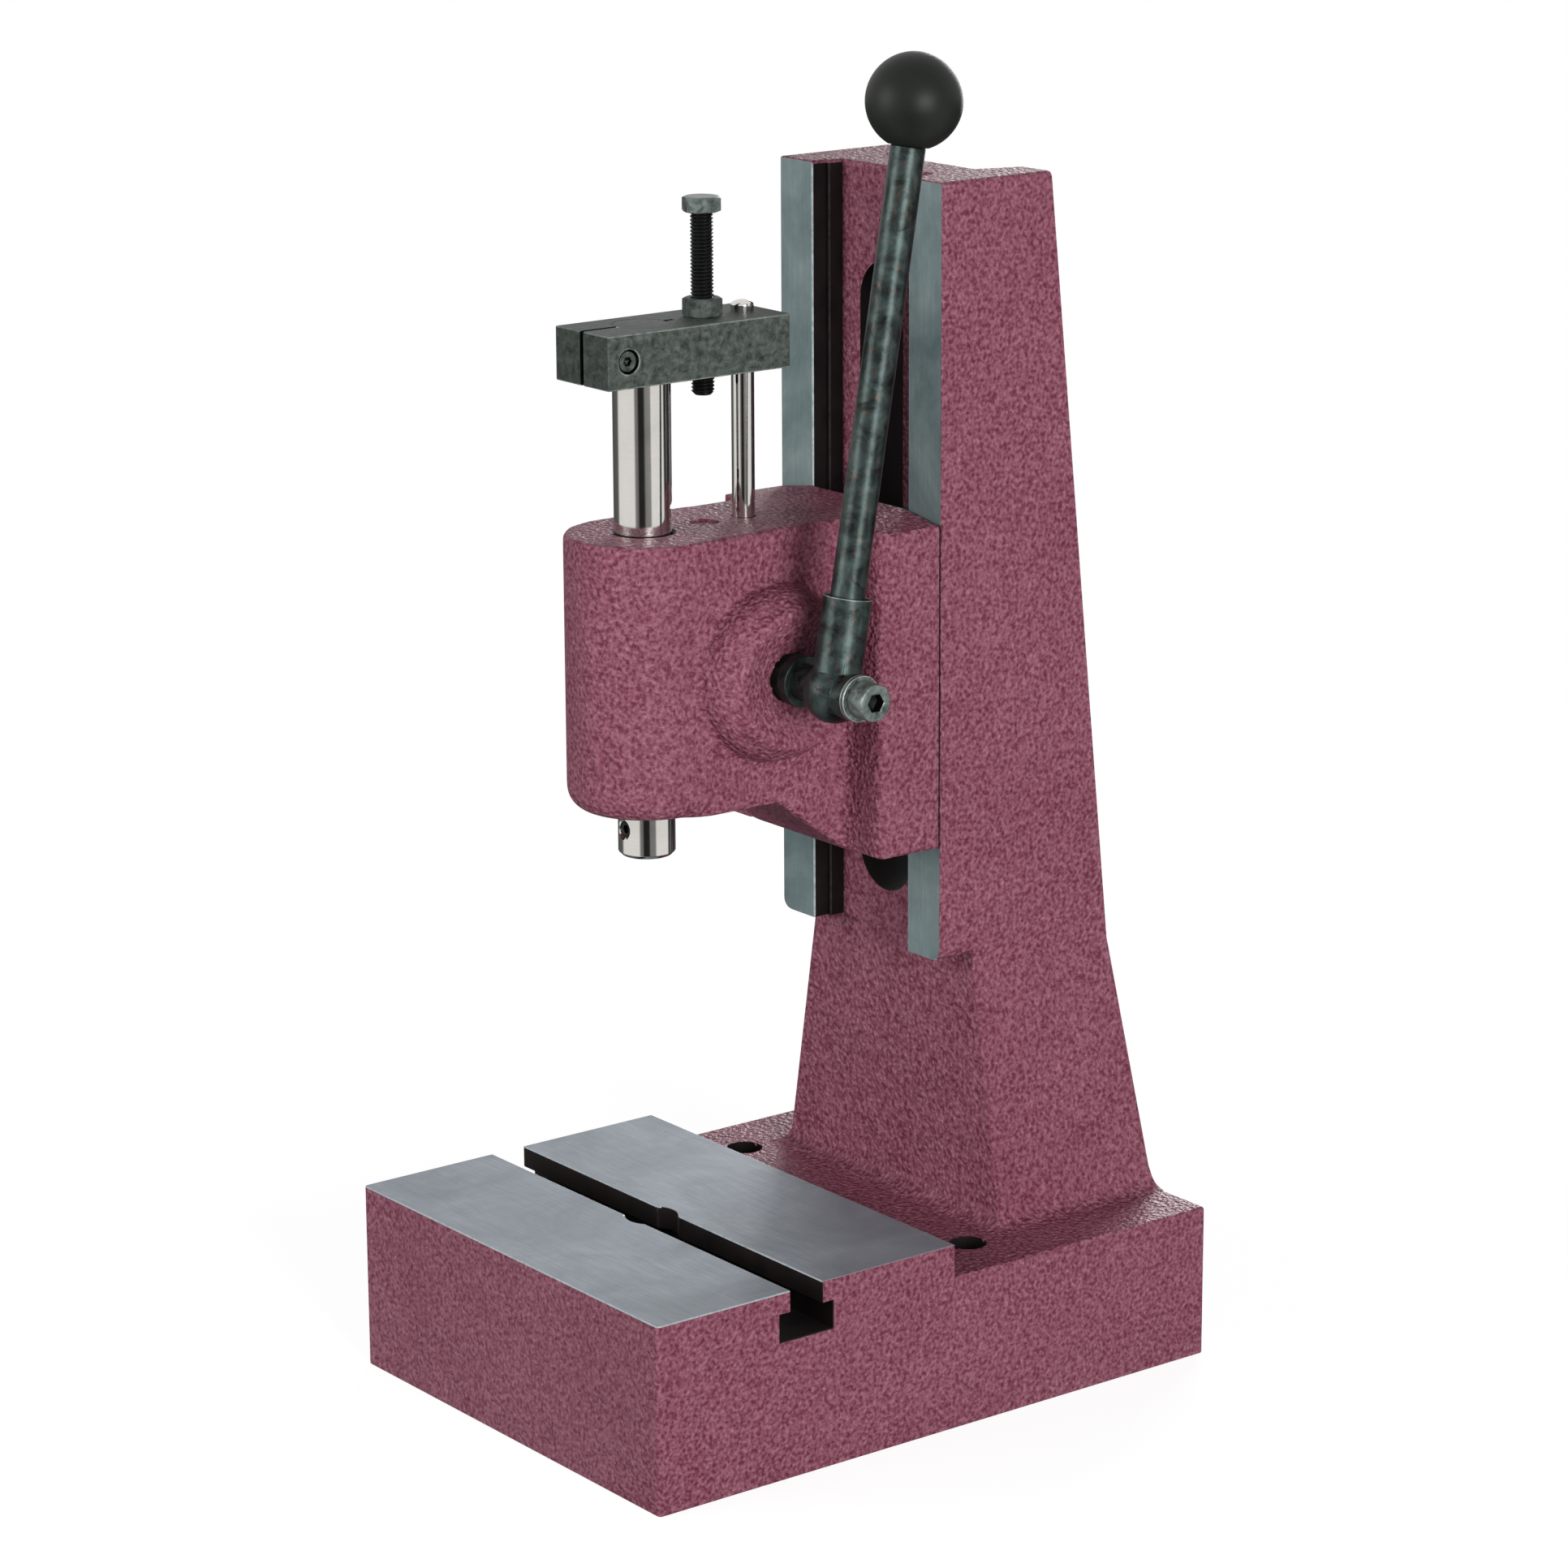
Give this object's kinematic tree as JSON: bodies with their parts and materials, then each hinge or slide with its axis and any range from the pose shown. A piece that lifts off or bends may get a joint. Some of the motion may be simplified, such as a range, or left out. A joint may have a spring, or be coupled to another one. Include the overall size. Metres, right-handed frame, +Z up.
{
  "type": "rack and pinion hand press",
  "caption": "Bench hand press with a T-slotted cast base, a rail column, a sliding head, and a ball-ended lever that drives a toothed ram down through a pinion.",
  "frame": {"origin": "centre of the base's footprint, on the bench", "axes": "+Z up along the ram, -Y to the front where the operator stands, +X to the operator's right, the lever's side"},
  "size_m": [0.18, 0.246, 0.4799],
  "materials": {
    "hammer_paint": "hammered, semi-gloss",
    "polished_steel": "ground and polished",
    "blackened_steel": "blackened, satin",
    "bolt_steel": "plain steel, satin",
    "black_steel": "black oxide, satin",
    "bronze": "turned",
    "brass": "turned",
    "black_plastic": "moulded, satin"
  },
  "bodies": {
    "frame": {"base_plinth": "hammer_paint", "table_bed": "hammer_paint", "column": "hammer_paint"},
    "head": {"press_head": "hammer_paint", "guide_pin": "polished_steel", "clamp_studs": "bolt_steel", "clamp_bar": "blackened_steel", "clamp_washers": "bolt_steel", "clamp_nuts": "bolt_steel", "shaft_bush_right": "bronze", "shaft_bush_left": "bronze", "bearing_cover": "blackened_steel", "cover_circlip": "bolt_steel", "spring_anchor": "bolt_steel", "return_spring": "bolt_steel"},
    "lever": {"drive_shaft": "polished_steel", "pinion_gear": "bolt_steel", "drive_key": "bolt_steel", "shaft_collar": "blackened_steel", "lever_hub": "blackened_steel", "hub_washer": "bolt_steel", "hub_screw": "bolt_steel", "lever_rod": "blackened_steel", "knob_insert": "brass", "ball_knob": "black_plastic"},
    "ram": {"ram": "polished_steel", "top_block": "blackened_steel", "block_screw": "black_steel", "lock_nut": "bolt_steel", "tool_screw": "black_steel"},
    "stop": {"stop_bolt": "black_steel"}
  },
  "joints": [
    {"name": "head_height", "type": "slide", "parent": "frame", "child": "head", "axis": [0, 0, 1], "range_m": [-0.04, 0.1]},
    {"name": "lever_turn", "type": "hinge", "parent": "head", "child": "lever", "pos_m": [0, -0.025, 0.2663], "axis": [1, 0, 0], "range_deg": [0, 92.9], "stiffness_Nm_per_rad": 0.25, "springref_deg": -114.59, "deforming": ["return_spring"]},
    {"name": "ram_stroke", "type": "slide", "parent": "head", "child": "ram", "axis": [0, 0, -1], "range_m": [0, 0.045]},
    {"name": "stop_setting", "type": "slide", "parent": "ram", "child": "stop", "axis": [0, 0, 1], "range_m": [0, 0.006]}
  ],
  "couplings": [
    {"joint": "ram_stroke", "follows": "lever_turn", "m_per_rad": 0.02775}
  ]
}
